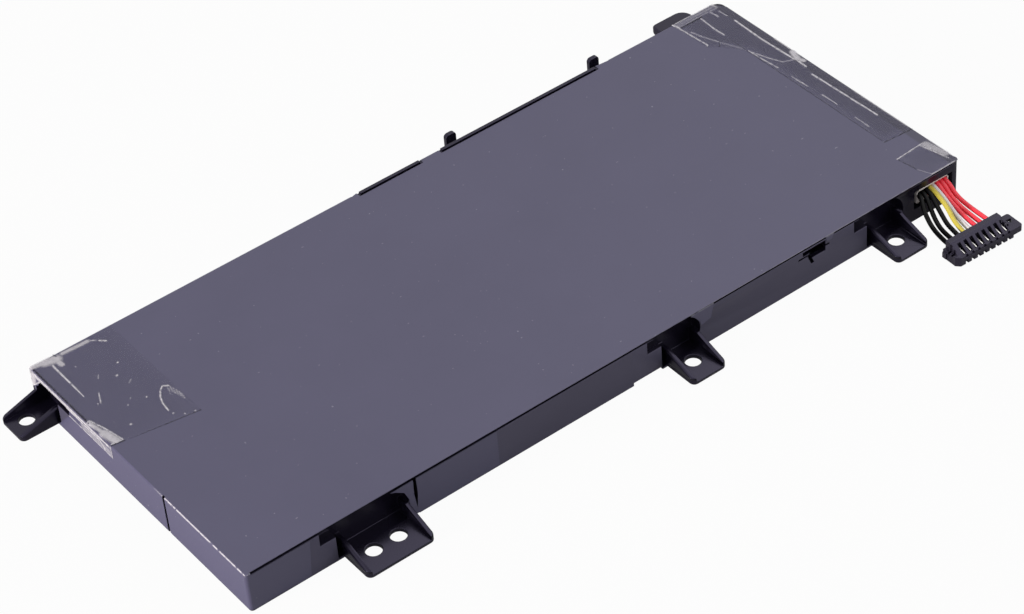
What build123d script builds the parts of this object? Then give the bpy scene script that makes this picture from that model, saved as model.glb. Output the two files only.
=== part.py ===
# Laptop battery pack: a frame of moulded rails on a base sheet holds two pouch cells and a protection
# board under a folded film, and a short wired plug leaves its front right corner. Sizes are in millimetres.
# X runs along the pack, Y towards its back long side, Z up from the middle of its underside.
import os
from math import radians, tan

from build123d import *

# Pack envelope, measured over the film
pack_length = 188.0
pack_width = 80.0
pack_height = 10.2
film_thickness = 0.12

# Frame: a shallow tray, parted into rails and a base sheet
wall_thickness = 1.2
floor_thickness = 0.6
corner_radius = 0.8
far_corner_radius = 2.0

# Groove below the film along the top of the front wall
groove_from_left = 1.2
groove_height = 0.45
groove_depth = 0.6

# Step in the foot of the front wall, left of the middle ear
foot_step_length = 7.7
foot_step_height = 0.8
foot_step_depth = 0.8

# Screw ears: a plate between two gussets
ear_reach = 8.5
ear_thickness = 1.0
ear_corners = (1.3, 1.3)
ear_edge_cut = 0.3
ear_hole_radius = 1.8
ear_hole_reach = 2.9
gusset_thickness = 1.0
gusset_height = 4.5
gusset_tip_height = 1.7
single_ear_width = 9.2
double_ear_width = 16.4
double_ear_spacing = 6.1
end_ear_width = 8.6
end_ear_reach = 8.9
end_ear_hole_reach = 4.8
end_ear_hole_offset = -0.6
back_ear_width = 10.0
back_ear_top = 5.4
back_ear_corners = (1.3, 3.0)

# Ear places: distance of an ear's middle from the pack's left or right end
double_ear_from_left = 30.5
middle_ear_from_right = 78.3
right_ear_from_right = 21.0
back_ear_from_right = 8.8

# Pockets in the wall behind the front and end ears
pocket_depth = 2.7
pocket_wall = 0.8
pocket_sill = 6.5
pocket_arch_radius = 4.5
pocket_slot_width = 1.2
front_notch_length = 4.9
end_notch_length = 9.2

# Cable hooks and rim lips of the back wall, placed from the right end
hook_width = 2.8
hook_gap = 2.8
hook_thickness = 1.1
hook_foot_bottom = 3.6
hook_foot_thickness = 1.2
hook_rise = 0.02
hook_corner_radius = 0.9
hooks_from_right = (76.1, 35.1)
lip_height = 0.4
lip_thickness = 0.8
lip_film_gap = 0.5
lip_groove_depth = 1.2
lips_from_right = ((103.6, 87.3), (81.3, 37.4))

# Snap window of the front wall, with a step, a cross slot and a slanting leg
window_from_right = 43.2
window_width = 4.4
window_height = 2.7
window_below_rim = 0.88
window_step_length = 1.9
window_step_height = 1.0
window_slot_before = 3.2
window_slot_after = 1.1
window_slot_rise = 1.1
window_slot_height = 0.45
window_leg_before = 0.7
window_leg_width = 0.7
window_leg_run = 1.2
window_leg_depth = 1.5

# Pouch cells
cell_end_gap = 4.0
cell_board_gap = 4.2
cell_edge_radius = 1.6
cell_outer_margin = 4.0
cell_gap = 0.3
terrace_length = 3.2
terrace_width = 30.0
terrace_bottom = 3.9
terrace_thickness = 0.4
adhesive_thickness = 0.15
adhesive_inset = 4.0

# Cell tabs and the plates below them
tab_width = 8.0
tab_thickness = 0.15
tab_offset = 6.4
plate_inset = 0.4
plate_length = 3.0
plate_overhang = 0.5
tab_tape_width = 26.0
tab_tape_length = 3.6
tab_tape_thickness = 0.08

# Protection board on two ledges, and the wire exit in front of it
board_width = 11.0
board_clearance = 0.48
board_from_front = 4.0
board_from_back = 4.8
board_bottom = 3.2
board_thickness = 0.8
ledge_thickness = 0.8
ledge_inset = 0.4
ledge_from_front = 6.0
ledge_from_back = 3.2
exit_clearance = 0.2
exit_headroom = 0.38

# Board parts: size along X, Y and Z, and place from the board's front or back edge
chip_column_inset = 3.5
gauge_chip_size = (4.4, 6.4, 1.1)
gauge_chip_from_front = 26.0
protector_chip_size = (3.0, 3.0, 0.8)
protector_chip_from_front = 20.0
sense_resistor_size = (3.2, 6.3, 0.6)
sense_resistor_from_front = 14.6
switch_size = (4.4, 6.0, 1.1)
charge_switch_from_back = 21.0
discharge_switch_from_back = 13.0
fuse_size = (3.2, 5.4, 1.4)
fuse_from_back = 5.2
capacitor_size = (0.8, 1.6, 0.8)
capacitor_insets = (6.2, 0.8)
capacitors_from_front = 29.6
capacitor_pitch = 8.8
capacitor_count = 4
resistor_size = (0.5, 1.0, 0.35)
resistors_from_front = 7.0
resistor_pitch = 1.6
resistor_count = 3
resistor_insets = (5.0, 3.6, 2.2)
thermistor_bead_radius = 0.9
thermistor_bead_length = 3.4
thermistor_from_cell = 1.2
thermistor_leg = 0.3
thermistor_leg_spacing = 0.9
thermistor_leg_length = 3.0
foam_width = 4.0

# Board header and wire housing
wire_count = 8
header_pitch = 1.1
header_margin = 0.85
header_from_front = 5.2
header_depth = 3.4
header_height = 3.5
pin_size = 0.4
pin_length = 2.6
pin_clearance = 0.05
housing_from_front = 0.5
housing_wire_rise = 2.5
housing_wire_insert = 2.0
housing_corner_cut = 0.8
wire_clearance = 0.05

# Plug: a base with a sloping roof, a toothed front and one eyed flange on its right end
plug_shift = -1.65
plug_from_front = 13.2
plug_bottom = 0.1
plug_turn = -2.4
plug_length = 15.9
plug_depth = 4.9
plug_base_top = 2.4
plug_corner_cut = 0.9
plug_roof_top = 4.3
plug_roof_inset = 0.7
plug_roof_flat = 1.3
plug_roof_run = 4.0
plug_flange_reach = 2.5
plug_flange_bottom = 0.7
plug_flange_corner = 0.6
plug_eye_inset = 0.5
plug_eye_rear = 1.6
plug_eye_size = 1.4
plug_eye_plate = 0.7
plug_eye_rim = 0.3
plug_lug_reach = 0.4
plug_lug_rear = 0.2
plug_lug_depth = 1.2
plug_lug_bottom = 0.4
plug_lug_height = 1.5
plug_pitch = 1.69
plug_wire_shift = -0.33
plug_wire_z = 2.7
plug_wire_insert = 1.6
plug_slot_shift = 0.6
plug_slot_width = 0.9
plug_slot_rear = 1.9
plug_slot_front = 4.2
plug_slot_floor = 1.2
plug_notch_width = 0.6
plug_notch_depth = 0.4
plug_notch_height = 0.6
plug_end_slots_rear = (1.6, 2.7)
plug_end_slot_depth = 0.5
plug_end_slot_length = 1.0
plug_end_slot_floor = 1.8
plug_slit_width = 0.6
plug_slit_depth = 0.9
plug_slit_top = 0.9
contact_thickness = 0.5
contact_rear = 2.2
contact_front = 4.0
contact_height = 2.2
contact_front_height = 1.05

# Wires: distance in front of the housing where each kind bends down and where it levels out again
wire_radius = 0.475
wire_sides = 12
wire_fit = 0.45
black_route = (1.0, 6.8)
yellow_route = (5.3, 9.6)
white_route = (2.2, 8.6)
red_route = (0.8, 3.7)
wire_routes = (
    ("black_wire_1", black_route),
    ("black_wire_2", black_route),
    ("black_wire_3", black_route),
    ("yellow_wire", yellow_route),
    ("white_wire", white_route),
    ("red_wire_1", red_route),
    ("red_wire_2", red_route),
    ("red_wire_3", red_route),
)

# Film flaps folded down the walls
flap_foot = 0.3
front_flap_foot_length = 14.4
front_flap_top_length = 15.2
ear_tab_shift = 6.2
ear_tab_width = 4.4
ear_tab_foot_width = 2.9
ear_tab_depth = 4.2
window_tab_shift = 0.5
window_tab_width = 3.8
window_tab_foot_width = 3.0
window_tab_depth = 1.8
patch_ear_gap = 0.2
patch_length = 22.1
patch_slit_from_left = 1.55
patch_slit_width = 0.5
patch_slit_foot = 2.2
patch_slit_top_gap = 0.13
back_flap_lip_gap = 2.0
back_bridge_depth = 1.8
back_flap_hook_gap = 0.3
back_flap_from_right = 3.4
back_flap_ear_gap = 1.0
back_flap_ear_rise = 0.6
end_slit_from_front = 29.0
end_slit_width = 0.6
end_flap_notch_gap = 0.68
end_band_height = 1.4
end_corner_width = 1.3
end_corner_depth = 4.8
right_flap_from_front = 3.0
right_flap_from_back = 2.6

# Clear tapes: outlines from the back left, back right and front right corners of the top face
tape_thickness = 0.06
left_tape_width = 19.8
left_tape_length = 35.2
left_tape_slant = 3.4
left_tape_fold_length = 12.8
left_tape_fold_depth = 5.0
end_tape_width = 8.0
end_tape_from_front = 14.4
end_tape_slant = 0.7
end_tape_back_width = 14.2
end_tape_back_depth = 2.6
end_tape_back_slant = 1.0
corner_tape_width = 10.0
corner_tape_length = 9.7
corner_tape_slant = 0.5
corner_tape_front_width = 8.0
corner_tape_nick = (9.3, 3.4)

# Places worked out from the sizes above; side is -1 at the front and 1 at the back
front_side = -1
back_side = 1
half_length = pack_length / 2
half_width = pack_width / 2
tray_x = half_length - film_thickness
tray_y = half_width - film_thickness
rim_z = pack_height - film_thickness
groove_bottom = rim_z - groove_height
rail_depth = pocket_depth + pocket_wall
double_ear_x = double_ear_from_left - half_length
middle_ear_x = half_length - middle_ear_from_right
right_ear_x = half_length - right_ear_from_right
back_ear_x = half_length - back_ear_from_right
end_ear_y = tray_y - end_ear_width / 2
patch_left = double_ear_x + double_ear_width / 2 + patch_ear_gap
patch_slit_x = patch_left + patch_slit_from_left
end_slit_y = end_slit_from_front - half_width
foot_step_right = middle_ear_x - single_ear_width / 2 - pocket_slot_width
foot_step_left = foot_step_right - foot_step_length
lip_spans = [(half_length - start, half_length - end) for start, end in lips_from_right]
window_left = half_length - window_from_right
window_right = window_left + window_width
board_right = tray_x - wall_thickness - board_clearance
board_left = board_right - board_width
board_front = board_from_front - half_width
board_back = half_width - board_from_back
board_top = board_bottom + board_thickness
exit_left = board_left - exit_clearance
chip_column = board_right - chip_column_inset
cell_left = cell_end_gap - half_length
cell_right = board_left - cell_board_gap
cell_bottom = floor_thickness + adhesive_thickness
tab_left = cell_right + terrace_length
tab_bottom = board_top + tab_thickness
tab_top = tab_bottom + tab_thickness
plate_left = board_left + plate_inset
header_x = (board_left + board_right) / 2
header_row = (wire_count - 1) * header_pitch
header_left = header_x - header_row / 2 - header_margin
header_right = header_x + header_row / 2 + header_margin
header_front = header_from_front - half_width
header_top = board_top + header_height
housing_front = housing_from_front - half_width
housing_wire_z = board_top + housing_wire_rise
plug_place = Pos(header_x + plug_shift, -half_width - plug_from_front, plug_bottom) * Rot(0, 0, plug_turn)


def block(x0, x1, y0, y1, z0, z1):
    middle = Pos((x0 + x1) / 2, (y0 + y1) / 2, (z0 + z1) / 2)
    return middle * Box(abs(x1 - x0), abs(y1 - y0), abs(z1 - z0))


def chip(x, y, size):
    seat = (Align.CENTER, Align.CENTER, Align.MIN)
    return Pos(x, y, board_top) * Box(*size, align=seat)


def outline_sheet(points, plane, thickness):
    return extrude(plane * make_face(Polyline(*points, close=True)), amount=thickness)


# Frame, drawn as one tray
def tray_shell():
    far = (tray_x, tray_y)
    outline = Rectangle(2 * tray_x, 2 * tray_y)
    outline = fillet(outline.vertices().sort_by_distance(far)[:1], far_corner_radius)
    outline = fillet(outline.vertices().sort_by_distance(far)[2:], corner_radius)
    bay_x = tray_x - wall_thickness
    bay_y = tray_y - wall_thickness
    return extrude(outline, rim_z) - block(-bay_x, bay_x, -bay_y, bay_y, floor_thickness, rim_z)


def ear(width, reach, hole_reach, root, corners, hole_offsets):
    half = width / 2
    body = block(-half, half, -reach, root, 0, gusset_height)
    for side, radius in zip((0, -1), corners):
        tips = body.edges().filter_by(Axis.Z).group_by(Axis.Y)[0].sort_by(Axis.X)
        body = fillet(tips[side], radius)
    slope = ((0, gusset_height), (-reach, gusset_tip_height), (-reach, 2 * gusset_height),
             (0, 2 * gusset_height))
    body -= outline_sheet(slope, Plane.YZ.offset(-width), 2 * width)
    upper = body.edges().filter_by(lambda edge: edge.center().Y < 0 and edge.center().Z > ear_thickness)
    lower = body.edges().filter_by(lambda edge: edge.center().Y < root and edge.center().Z < ear_edge_cut)
    body = chamfer(upper + lower, ear_edge_cut)
    inner = half - gusset_thickness
    body -= block(-inner, inner, -2 * reach, root, ear_thickness, gusset_height)
    for offset in hole_offsets:
        body -= Pos(offset, -hole_reach, 0) * Cylinder(ear_hole_radius, 2 * gusset_height)
    return body


def pocket_case(width, side, notch_length, arch_radius):
    far = side * (width / 2 + notch_length + pocket_wall)
    near = -side * width / 2
    if arch_radius:
        near -= side * pocket_wall
    return block(near, far, 0, pocket_depth + pocket_wall, 0, rim_z)


def pocket_void(width, side, notch_length, arch_radius):
    outer_face = side * width / 2
    inner_face = -side * (width / 2 - gusset_thickness)
    slot_end = outer_face + side * pocket_slot_width
    notch_end = outer_face + side * notch_length
    upper_face = -outer_face if arch_radius else inner_face
    void = block(upper_face, outer_face, -wall_thickness, pocket_depth, gusset_height, rim_z)
    if arch_radius:
        crown = void.edges().filter_by(Axis.Y).sort_by_distance((upper_face, 0, rim_z))[:1]
        void = fillet(crown, arch_radius)
    void += block(inner_face, outer_face, -wall_thickness, pocket_depth, ear_thickness, gusset_height)
    void += block(outer_face, slot_end, -wall_thickness, pocket_depth, floor_thickness, rim_z)
    void += block(outer_face, notch_end, -wall_thickness, pocket_depth, pocket_sill, rim_z)
    return void


def pocketed_ears():
    pair = (-double_ear_spacing / 2, double_ear_spacing / 2)
    double_pocket = (double_ear_width, -1, front_notch_length, pocket_arch_radius)
    single_pocket = (single_ear_width, -1, front_notch_length, pocket_arch_radius)
    end_pocket = (end_ear_width, 1, end_notch_length, 0)
    double = ear(double_ear_width, ear_reach, ear_hole_reach, pocket_depth, ear_corners, pair)
    single = ear(single_ear_width, ear_reach, ear_hole_reach, pocket_depth, ear_corners, (0,))
    end = ear(end_ear_width, end_ear_reach, end_ear_hole_reach, pocket_depth, ear_corners,
              (end_ear_hole_offset,))
    return (
        (Pos(double_ear_x, -tray_y, 0), double_pocket, double),
        (Pos(middle_ear_x, -tray_y, 0), single_pocket, single),
        (Pos(right_ear_x, -tray_y, 0), single_pocket, single),
        (Pos(-tray_x, end_ear_y, 0) * Rot(0, 0, -90), end_pocket, end),
    )


def back_ear():
    turned = Pos(back_ear_x, tray_y, back_ear_top) * Rot(0, 0, 180) * Rot(0, 180, 0)
    return turned * ear(back_ear_width, ear_reach, ear_hole_reach, wall_thickness, back_ear_corners, (0,))


def cable_hook(x):
    left = x - hook_width / 2
    right = x + hook_width / 2
    inner = tray_y + hook_gap
    outer = inner + hook_thickness
    tongue = block(left, right, inner, outer, hook_foot_bottom, rim_z + hook_rise)
    tongue = fillet(tongue.edges().filter_by(Axis.Y).group_by(Axis.Z)[-1], hook_corner_radius)
    foot_top = hook_foot_bottom + hook_foot_thickness
    return tongue + block(left, right, tray_y - wall_thickness, outer, hook_foot_bottom, foot_top)


def snap_window():
    inner = wall_thickness - tray_y
    top = rim_z - window_below_rim
    bottom = top - window_height
    slot_bottom = bottom + window_slot_rise
    slot_top = slot_bottom + window_slot_height
    leg_left = window_left - window_leg_before
    leg_foot = bottom - window_leg_depth
    leg = ((leg_left, slot_top), (leg_left + window_leg_width, slot_top),
           (leg_left + window_leg_width + window_leg_run, leg_foot), (leg_left + window_leg_run, leg_foot))
    window = block(window_left, window_right, -half_width, inner, bottom, top)
    window += block(window_left - window_slot_before, window_right + window_slot_after, -half_width, inner,
                    slot_bottom, slot_top)
    window += block(window_left - window_step_length, window_left, -half_width, inner,
                    top - window_step_height, top)
    return window + outline_sheet(leg, Plane.XZ.offset(-inner), half_width + inner)


def foot_step():
    return block(foot_step_left, foot_step_right, -half_width, foot_step_depth - tray_y, 0, foot_step_height)


def board_ledges():
    left = board_left + ledge_inset
    right = board_right - ledge_inset
    front = board_front + ledge_from_front
    back = board_back - ledge_from_back
    ledges = block(left, left + ledge_thickness, front, back, 0, board_bottom)
    return ledges + block(right, right - ledge_thickness, front, back, 0, board_bottom)


def frame_tray():
    tray = tray_shell()
    for place, pocket, screw_ear in pocketed_ears():
        tray += place * pocket_case(*pocket)
    for place, pocket, screw_ear in pocketed_ears():
        tray -= place * pocket_void(*pocket)
        tray += place * screw_ear
    tray += back_ear()
    for distance in hooks_from_right:
        tray += cable_hook(half_length - distance)
    for start, end in lip_spans:
        tray += block(start, end, tray_y - lip_thickness, tray_y, rim_z, rim_z + lip_height)
        tray -= block(start, end, tray_y - wall_thickness, tray_y - lip_thickness, rim_z - lip_groove_depth,
                      rim_z)
    tray -= snap_window()
    tray -= foot_step()
    tray -= block(groove_from_left - half_length, board_right, -half_width, groove_depth - tray_y,
                  groove_bottom, rim_z)
    tray -= block(exit_left, board_right, -half_width, wall_thickness - tray_y, board_bottom,
                  header_top + exit_headroom)
    return tray + board_ledges()


# Rails and base sheet: the tray parted at the two slits, at the foot step and behind the walls
def make_frame():
    tray = frame_tray()
    left = rail_depth - tray_x
    right = tray_x - wall_thickness
    front = rail_depth - tray_y
    back = tray_y - wall_thickness
    out_x = pack_length
    out_y = pack_width
    corner = span(-out_x, patch_slit_x, -out_y, front) + span(-out_x, left, front, end_slit_y)
    return {
        "corner_rail": tray & corner,
        "end_rail": tray & span(-out_x, left, end_slit_y, out_y),
        "front_rail": tray & span(patch_slit_x, foot_step_left, -out_y, front),
        "exit_rail": tray & span(foot_step_left, out_x, -out_y, front),
        "right_rail": tray & span(right, out_x, front, back),
        "back_rail": tray & span(left, out_x, back, out_y),
        "base_sheet": tray & span(left, right, front, back),
    }


def span(x0, x1, y0, y1):
    return block(x0, x1, y0, y1, 0, rim_z + lip_height)


# Film: a sheet over the top and flaps on the walls, each drawn as its outline on the wall
def film_tab(middle, width, foot_width, depth):
    foot = rim_z - depth
    return ((middle - foot_width / 2, foot), (middle + foot_width / 2, foot),
            (middle + width / 2, rim_z), (middle - width / 2, rim_z))


def front_film(outline):
    return outline_sheet(outline, Plane.XZ.offset(tray_y), film_thickness)


def back_film(outline):
    return outline_sheet(outline, Plane.XZ.offset(-half_width), film_thickness)


def left_film(outline):
    return outline_sheet(outline, Plane.YZ.offset(-half_length), film_thickness)


def make_top_film():
    sheet = block(-half_length, half_length, -half_width, half_width, rim_z, pack_height)
    lip_front = tray_y - lip_thickness - lip_film_gap
    for start, end in lip_spans:
        sheet -= block(start - lip_film_gap, end + lip_film_gap, lip_front, half_width, rim_z, pack_height)
    corner = sheet.edges().filter_by(Axis.Z).sort_by_distance((half_length, half_width, pack_height))[0:1]
    return fillet(corner, far_corner_radius)


def make_corner_film():
    left = -half_length
    groove_left = left + groove_from_left
    return front_film(((left, flap_foot), (left + front_flap_foot_length, flap_foot),
                       (left + front_flap_top_length, groove_bottom), (groove_left, groove_bottom),
                       (groove_left, rim_z), (left, rim_z)))


def make_film_patch():
    right = patch_left + patch_length
    outline = ((patch_left, flap_foot), (right, flap_foot), (right, groove_bottom),
               (patch_left, groove_bottom))
    slit_top = groove_bottom - patch_slit_top_gap
    slit_middle = (patch_slit_foot + slit_top) / 2
    slit = ((patch_slit_x, patch_slit_foot), (patch_slit_x + patch_slit_width / 2, slit_middle),
            (patch_slit_x, slit_top), (patch_slit_x - patch_slit_width / 2, slit_middle))
    return front_film(outline) - front_film(slit)


def make_film_tabs():
    ear_tab = film_tab(middle_ear_x + ear_tab_shift, ear_tab_width, ear_tab_foot_width, ear_tab_depth)
    window_tab = film_tab(window_right + window_tab_shift, window_tab_width, window_tab_foot_width,
                          window_tab_depth)
    return Compound(children=[front_film(ear_tab), front_film(window_tab)])


def make_left_film():
    front_end = end_slit_y - end_slit_width / 2
    back_start = end_slit_y + end_slit_width / 2
    notch = end_ear_y - end_ear_width / 2 - end_notch_length - end_flap_notch_gap
    band_foot = rim_z - end_band_height
    corner_foot = rim_z - end_corner_depth
    corner = tray_y - end_corner_width
    front = ((-tray_y, flap_foot), (front_end, flap_foot), (front_end, rim_z), (-tray_y, rim_z))
    back = ((back_start, flap_foot), (notch, flap_foot), (notch, band_foot), (corner, band_foot),
            (corner, corner_foot), (tray_y, corner_foot), (tray_y, rim_z), (back_start, rim_z))
    return Compound(children=[left_film(front), left_film(back)])


def make_back_film():
    (left_lip_start, left_lip_end), (right_lip_start, right_lip_end) = lip_spans
    left_end = left_lip_start - back_flap_lip_gap
    left = ((-half_length, flap_foot), (left_end, flap_foot), (left_end, rim_z), (-half_length, rim_z))
    bridge_width = right_lip_start - left_lip_end - 2 * lip_film_gap
    bridge = film_tab((left_lip_end + right_lip_start) / 2, bridge_width, bridge_width, back_bridge_depth)
    start = half_length - hooks_from_right[-1] + hook_width / 2 + back_flap_hook_gap
    end = half_length - back_flap_from_right
    ear_start = back_ear_x - back_ear_width / 2 - back_flap_ear_gap
    ear_foot = back_ear_top + back_flap_ear_rise
    right = ((start, flap_foot), (ear_start, flap_foot), (ear_start, ear_foot), (end, ear_foot),
             (end, rim_z), (start, rim_z))
    return Compound(children=[back_film(left), back_film(bridge), back_film(right)])


def make_right_film():
    front = right_flap_from_front - half_width
    back = half_width - right_flap_from_back
    return block(tray_x, half_length, front, back, flap_foot, rim_z)


# Clear tapes stuck over the folds
def make_tape(outline):
    return outline_sheet(outline, Plane.XY.offset(pack_height), tape_thickness)


def make_left_tape():
    left = -half_length
    front = half_width - left_tape_length + left_tape_slant
    fold = block(left - tape_thickness, left, front, front + left_tape_fold_length,
                 pack_height - left_tape_fold_depth, pack_height + tape_thickness)
    outline = ((left, half_width), (left + left_tape_width, half_width),
               (left + left_tape_width, half_width - left_tape_length), (left, front))
    return make_tape(outline) + fold


def make_end_tape():
    right = half_length
    inner = right - end_tape_width
    front = end_tape_from_front - half_width
    back_left = right - end_tape_back_width
    back_foot = half_width - end_tape_back_depth
    return make_tape(((back_left, half_width), (right - far_corner_radius, half_width),
                      (right, half_width - far_corner_radius), (right, front), (inner, front + end_tape_slant),
                      (inner, back_foot - end_tape_back_slant), (back_left, back_foot)))


def make_corner_tape():
    right = half_length
    front = -half_width
    back = front + corner_tape_length
    nick_x, nick_y = corner_tape_nick
    return make_tape(((right - corner_tape_width, back - corner_tape_slant), (right, back), (right, front),
                      (right - corner_tape_front_width, front), (right - nick_x, front + nick_y)))


# Cells and their connections
def cell_middle(side):
    return side * (half_width - cell_outer_margin + cell_gap / 2) / 2


def make_cell(side):
    inner = side * cell_gap / 2
    outer = side * (half_width - cell_outer_margin)
    body = block(cell_left, cell_right, inner, outer, cell_bottom, rim_z)
    body = fillet(body.edges().filter_by(Axis.X), cell_edge_radius)
    middle = cell_middle(side)
    terrace_top = terrace_bottom + terrace_thickness
    terrace = block(cell_right - cell_edge_radius, tab_left, middle - terrace_width / 2,
                    middle + terrace_width / 2, terrace_bottom, terrace_top)
    return body + terrace


def make_adhesive(side):
    inner = side * (cell_gap / 2 + adhesive_inset)
    outer = side * (half_width - cell_outer_margin - adhesive_inset)
    return block(cell_left + adhesive_inset, cell_right - adhesive_inset, inner, outer,
                 floor_thickness, cell_bottom)


def tab_middle(side, place):
    return cell_middle(side) + place * tab_offset


def make_tab(side, place):
    y = tab_middle(side, place)
    right = plate_left + plate_length
    return block(tab_left, right, y - tab_width / 2, y + tab_width / 2, tab_bottom, tab_top)


def make_plate(first, last):
    reach = tab_width / 2 + plate_overhang
    return block(plate_left, plate_left + plate_length, first - reach, last + reach, board_top, tab_bottom)


def make_tab_tape(side):
    middle = cell_middle(side)
    return block(tab_left, tab_left + tab_tape_length, middle - tab_tape_width / 2,
                 middle + tab_tape_width / 2, tab_top, tab_top + tab_tape_thickness)


# Protection board
def make_board():
    return block(board_left, board_right, board_front, board_back, board_bottom, board_top)


def front_chip(size, from_front):
    return chip(chip_column, board_front + from_front, size)


def back_chip(size, from_back):
    return chip(chip_column, board_back - from_back, size)


def make_capacitors():
    parts = []
    for inset in capacitor_insets:
        for index in range(capacitor_count):
            y = board_front + capacitors_from_front + index * capacitor_pitch
            parts.append(chip(board_right - inset, y, capacitor_size))
    return Compound(children=parts)


def make_resistors():
    parts = []
    for inset in resistor_insets:
        for index in range(resistor_count):
            y = board_front + resistors_from_front + index * resistor_pitch
            parts.append(chip(board_right - inset, y, resistor_size))
    return Compound(children=parts)


def make_thermistor():
    lying = Rot(0, 90, 0)
    seat = (Align.CENTER, Align.CENTER, Align.MIN)
    left = cell_right + thermistor_from_cell
    middle = cell_middle(back_side)
    height = tab_top + tab_tape_thickness + thermistor_bead_radius
    bead = lying * Cylinder(thermistor_bead_radius, thermistor_bead_length, align=seat)
    bead = Pos(left, middle, height) * bead
    half = thermistor_leg / 2
    bead_end = left + thermistor_bead_length
    leg_end = bead_end + thermistor_leg_length
    for side in (front_side, back_side):
        y = middle + side * thermistor_leg_spacing / 2
        bead += block(bead_end - half, leg_end, y - half, y + half, height - half, height + half)
        bead += block(leg_end - thermistor_leg, leg_end, y - half, y + half, board_top, height)
    return bead


def make_foam():
    front = board_front + gauge_chip_from_front - gauge_chip_size[1] / 2
    back = board_back - discharge_switch_from_back + switch_size[1] / 2
    left = chip_column - foam_width / 2
    return block(left, left + foam_width, front, back, board_top + gauge_chip_size[2], rim_z)


def wire_offset(index):
    return index - (wire_count - 1) / 2


def make_header():
    back = header_front + header_depth
    return block(header_left, header_right, header_front, back, board_top, header_top)


def make_pins():
    half = pin_size / 2
    parts = []
    for index in range(wire_count):
        x = header_x + wire_offset(index) * header_pitch
        parts.append(block(x - half, x + half, header_front - pin_length, header_front,
                           housing_wire_z - half, housing_wire_z + half))
    return Compound(children=parts)


def wire_cavity(first, last, face, z, depth):
    half = wire_radius + wire_clearance
    return block(first - half, last + half, face - depth, face + depth, z - half, z + half)


def make_wire_housing():
    housing = block(header_left, header_right, housing_front, header_front, board_top, header_top)
    housing = chamfer(housing.edges().filter_by(Axis.Y).group_by(Axis.Z)[-1], housing_corner_cut)
    half = pin_size / 2 + pin_clearance
    row = header_row / 2
    housing -= wire_cavity(header_x - row, header_x + row, housing_front, housing_wire_z,
                           housing_wire_insert)
    for index in range(wire_count):
        x = header_x + wire_offset(index) * header_pitch
        housing -= block(x - half, x + half, header_front - pin_length, header_front,
                         housing_wire_z - half, housing_wire_z + half)
    return housing


# Plug, drawn from the middle of its rear bottom edge forwards
def plug_roof():
    outline = ((0, plug_base_top), (0, plug_roof_top), (-plug_roof_flat, plug_roof_top),
               (-plug_roof_run, plug_base_top))
    width = plug_length - 2 * plug_roof_inset
    return outline_sheet(outline, Plane.YZ.offset(-width / 2), width)


def plug_flange():
    root = plug_length / 2
    flange = block(root, root + plug_flange_reach, -plug_depth, 0, plug_flange_bottom, plug_base_top)
    tips = flange.edges().filter_by(Axis.Z).group_by(Axis.X)[-1]
    flange = fillet(tips, plug_flange_corner)
    left = root + plug_eye_inset
    eye = ((left, -plug_eye_rear), (left + plug_eye_size, -plug_eye_rear),
           (left + plug_eye_size / 2, -plug_eye_rear - plug_eye_size))
    flange -= outline_sheet(eye, Plane.XY, plug_roof_top)
    reach = plug_eye_rear + plug_eye_size + plug_eye_rim
    return flange - block(root + plug_eye_rim, root + plug_flange_reach - plug_eye_rim, -reach, 0,
                          plug_flange_bottom, plug_base_top - plug_eye_plate)


def plug_slot_x(index):
    return plug_slot_shift + wire_offset(index) * plug_pitch


def plug_wire_x(index):
    return plug_wire_shift + wire_offset(index) * plug_pitch


def make_plug():
    half = plug_length / 2
    plug = block(-half, half, -plug_depth, 0, 0, plug_base_top)
    corner = plug.edges().filter_by(Axis.Z).sort_by_distance((-half, -plug_depth, 0))[:1]
    plug = chamfer(corner, plug_corner_cut)
    plug += plug_roof() + plug_flange()
    plug += block(-half - plug_lug_reach, -half, -plug_lug_rear - plug_lug_depth, -plug_lug_rear,
                  plug_lug_bottom, plug_lug_bottom + plug_lug_height)
    for index in range(wire_count):
        x = plug_slot_x(index)
        slot = plug_slot_width / 2
        slit = plug_slit_width / 2
        plug -= block(x - slot, x + slot, -plug_slot_front, -plug_slot_rear, plug_slot_floor, plug_roof_top)
        plug -= block(x - slit, x + slit, -plug_depth, plug_slit_depth - plug_depth, 0, plug_slit_top)
        notch = plug_notch_width / 2
        plug -= block(x - notch, x + notch, -plug_depth, plug_notch_depth - plug_depth,
                      plug_base_top - plug_notch_height, plug_roof_top)
        wire_x = plug_wire_x(index)
        plug -= wire_cavity(wire_x, wire_x, 0, plug_wire_z - plug_bottom, plug_wire_insert)
    for rear in plug_end_slots_rear:
        for end in (-half, half - plug_end_slot_length):
            plug -= block(end, end + plug_end_slot_length, -rear - plug_end_slot_depth, -rear,
                          plug_end_slot_floor, plug_roof_top)
    return plug_place * plug


def make_contacts():
    outline = ((-contact_rear, plug_slot_floor), (-contact_rear, plug_slot_floor + contact_height),
               (-contact_front, plug_slot_floor + contact_front_height), (-contact_front, plug_slot_floor))
    parts = []
    for index in range(wire_count):
        left = plug_slot_x(index) - contact_thickness / 2
        blade = outline_sheet(outline, Plane.YZ.offset(left), contact_thickness)
        parts.append(plug_place * blade)
    return Compound(children=parts)


# Wires, each a tube along straight runs joined by tangent arcs
def bend_radius(before, corner, after):
    arrive = corner - before
    leave = after - corner
    run = min(arrive.length, leave.length)
    return wire_fit * run / tan(radians(arrive.get_angle(leave)) / 2)


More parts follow.
